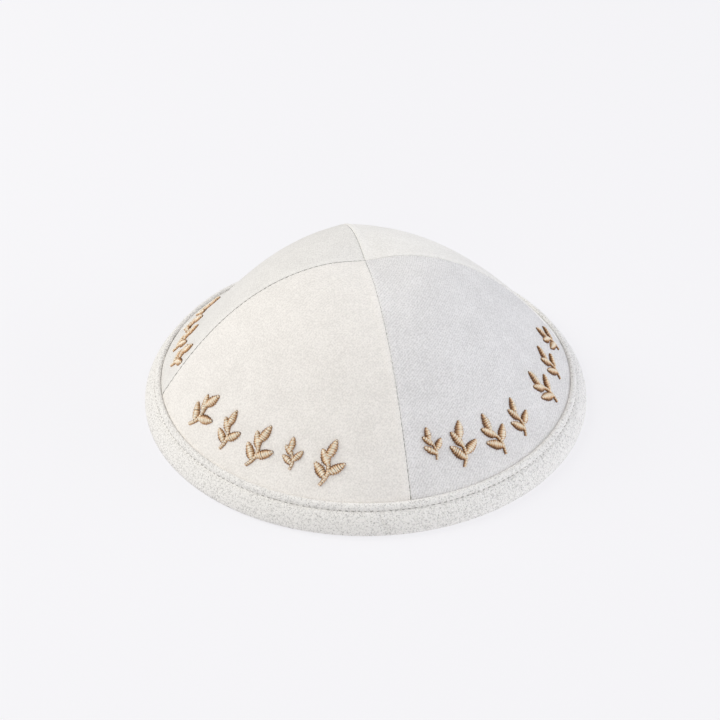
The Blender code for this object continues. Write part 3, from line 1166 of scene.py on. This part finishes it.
def strokePad(place, stroke):
    # points of a low closed mound under one stroke's threads, the top's and then the underside's
    rows, columns = padSizes["rows"], padSizes["columns"]
    crest = sprigSizes["height"] * padSizes["height"]
    top, bottom = [], []
    for number in range(rows):
        share = min(max(number / (rows - 1), padSizes["ends"]), 1.0 - padSizes["ends"])
        aside = strokeAxes(stroke, share)[1]
        half = padSizes["width"] * stroke["half"](share)
        for step in range(columns):
            side = -1.0 + 2.0 * step / (columns - 1)
            spot = stroke["line"](share) + aside * half * side
            arch = archHeight(side, padSizes["archPower"], half * place["length"], crest)
            top.append(onCrown(place, spot, arch + padSizes["lift"]))
            bottom.append(onCrown(place, spot, -padSizes["depth"]))
    return top + bottom


def addPad(shape, points):
    verts = [shape.verts.new(point) for point in points]
    for corners in wallFaces(padSizes["rows"], padSizes["columns"]):
        face = shape.faces.new([verts[corner] for corner in corners])
        # the padding takes the dark thread, as painted shade between the stitches
        face.material_index = 1
        face.smooth = True


def buildSprig(name, place, node, chance):
    lines, shades = [], []
    for stroke in sprigStrokes:
        more, moreShades = threadLines(place, stroke, chance)
        lines += more
        shades += moreShades
    values = {"Thread Radius": threadSizes["radius"], "Thread Sides": threadSizes["sides"],
              "Material": satinThread}
    mesh = grownMesh(name, lines, threadTree, values, shades=shades)
    shape = bmesh.new()
    shape.from_mesh(mesh)
    for face in shape.faces:
        face.material_index = 0
    for stroke in sprigStrokes:
        addPad(shape, strokePad(place, stroke))
    bmesh.ops.recalc_face_normals(shape, faces=shape.faces)
    shape.to_mesh(mesh)
    shape.free()
    newPiece(name, mesh, [satinThread, threads["underThreadPaintedShade"]], [node])


def buildSprigs():
    chance = random.Random(sprigSizes["seed"])
    for panel, rows in sprigRows.items():
        for number, row in enumerate(rows, start=1):
            name = "sprig" + camelPlace(panel) + str(number)
            buildSprig(name, sprigFrame(row), "sprig_" + panel + "_" + str(number), chance)


buildSprigs()
print("sprigs made")

# floor, light and camera

studio = {
    "floorSize": 6.0,
    "floorColour": (0.20, 0.20, 0.203),
    "floorGlow": (0.90, 0.892, 0.917),
    "floorGlowSeen": 0.811,
    "floorGlowShed": 0.608,
    "worldColour": (1.0, 1.0, 1.0),
    "worldStrength": 0.36,
    "lampDistance": 1.4,
    "lampSize": 0.9,
}

lampRows = (
    {"name": "keyLamp", "azimuth": -101.0, "elevation": 45.0, "power": 12.0, "colour": (1.0, 0.983, 0.94)},
    {"name": "sideLamp", "azimuth": 84.0, "elevation": 14.0, "power": 8.3, "colour": (0.914, 0.934, 1.0)},
    {"name": "rearLamp", "azimuth": 120.0, "elevation": 45.0, "power": 2.6, "colour": (0.82, 0.875, 1.0)},
    {"name": "frontLamp", "azimuth": 0.0, "elevation": 14.0, "power": 3.8, "colour": (1.0, 1.0, 1.0)},
)

cameraPlace = {
    "distance": 0.620,
    "elevation": 37.33,
    "yaw": 0.19,
    "pitch": 1.02,
    "roll": 0.24,
    "lens": 82.9,
    "sensor": 36.0,
    "nearest": 0.01,
}


def aroundPoint(azimuth, elevation, distance):
    flat = distance * math.cos(math.radians(elevation))
    height = distance * math.sin(math.radians(elevation))
    turn = math.radians(azimuth)
    return Vector((flat * math.sin(turn), -flat * math.cos(turn), height))


def buildFloor():
    size = studio["floorSize"]
    corners = [(-size, -size, 0), (size, -size, 0), (size, size, 0), (-size, size, 0)]
    mesh = bpy.data.meshes.new("floor")
    mesh.from_pydata(corners, [], [(0, 1, 2, 3)])
    material, tree, shader = newMaterial("floorPaper", {
        "Roughness": 1.0,
        "Specular IOR Level": 0.0,
        "Base Color": studio["floorColour"] + (1.0,),
        "Emission Color": studio["floorGlow"] + (1.0,),
    })
    # the paper looks evenly bright and sheds a little less light than it shows
    ray = addNode(tree, "ShaderNodeLightPath", -700, -200)
    glow = addNode(tree, "ShaderNodeMapRange", -400, -200)
    setInputs(glow, {"To Min": studio["floorGlowShed"], "To Max": studio["floorGlowSeen"]})
    joinNodes(tree, ((ray, "Is Camera Ray", glow, "Value"), (glow, "Result", shader, "Emission Strength")))
    mesh.materials.append(material)
    addObject("floor", mesh)


def buildLamps():
    for row in lampRows:
        data = bpy.data.lights.new(row["name"], "AREA")
        data.energy = row["power"]
        data.size = studio["lampSize"]
        data.color = row["colour"]
        lamp = addObject(row["name"], data)
        lamp.location = aroundPoint(row["azimuth"], row["elevation"], studio["lampDistance"])
        lamp.rotation_euler = (-lamp.location).to_track_quat("-Z", "Y").to_euler()
    world = bpy.data.worlds.new("studioAir")
    world.use_nodes = True
    back = world.node_tree.nodes["Background"]
    setInputs(back, {"Color": studio["worldColour"] + (1.0,), "Strength": studio["worldStrength"]})
    bpy.context.scene.world = world


def buildCamera():
    elevation = math.radians(cameraPlace["elevation"])
    right = Vector((1.0, 0.0, 0.0))
    forward = Vector((0.0, math.cos(elevation), -math.sin(elevation)))
    up = right.cross(forward)
    for name, axis in (("yaw", "up"), ("pitch", "right"), ("roll", "forward")):
        turn = {"up": up, "right": right, "forward": forward}[axis]
        spin = Matrix.Rotation(math.radians(cameraPlace[name]), 3, turn)
        right, up, forward = spin @ right, spin @ up, spin @ forward
    data = bpy.data.cameras.new("mainCamera")
    data.lens = cameraPlace["lens"]
    data.sensor_width = cameraPlace["sensor"]
    data.clip_start = cameraPlace["nearest"]
    camera = addObject("mainCamera", data)
    grid = Matrix((right, up, -forward)).transposed().to_4x4()
    grid.translation = aroundPoint(0.0, cameraPlace["elevation"], cameraPlace["distance"])
    camera.matrix_world = grid
    bpy.context.scene.camera = camera


buildFloor()
buildLamps()
buildCamera()
bpy.context.scene.view_settings.view_transform = "Standard"
print("studio made")
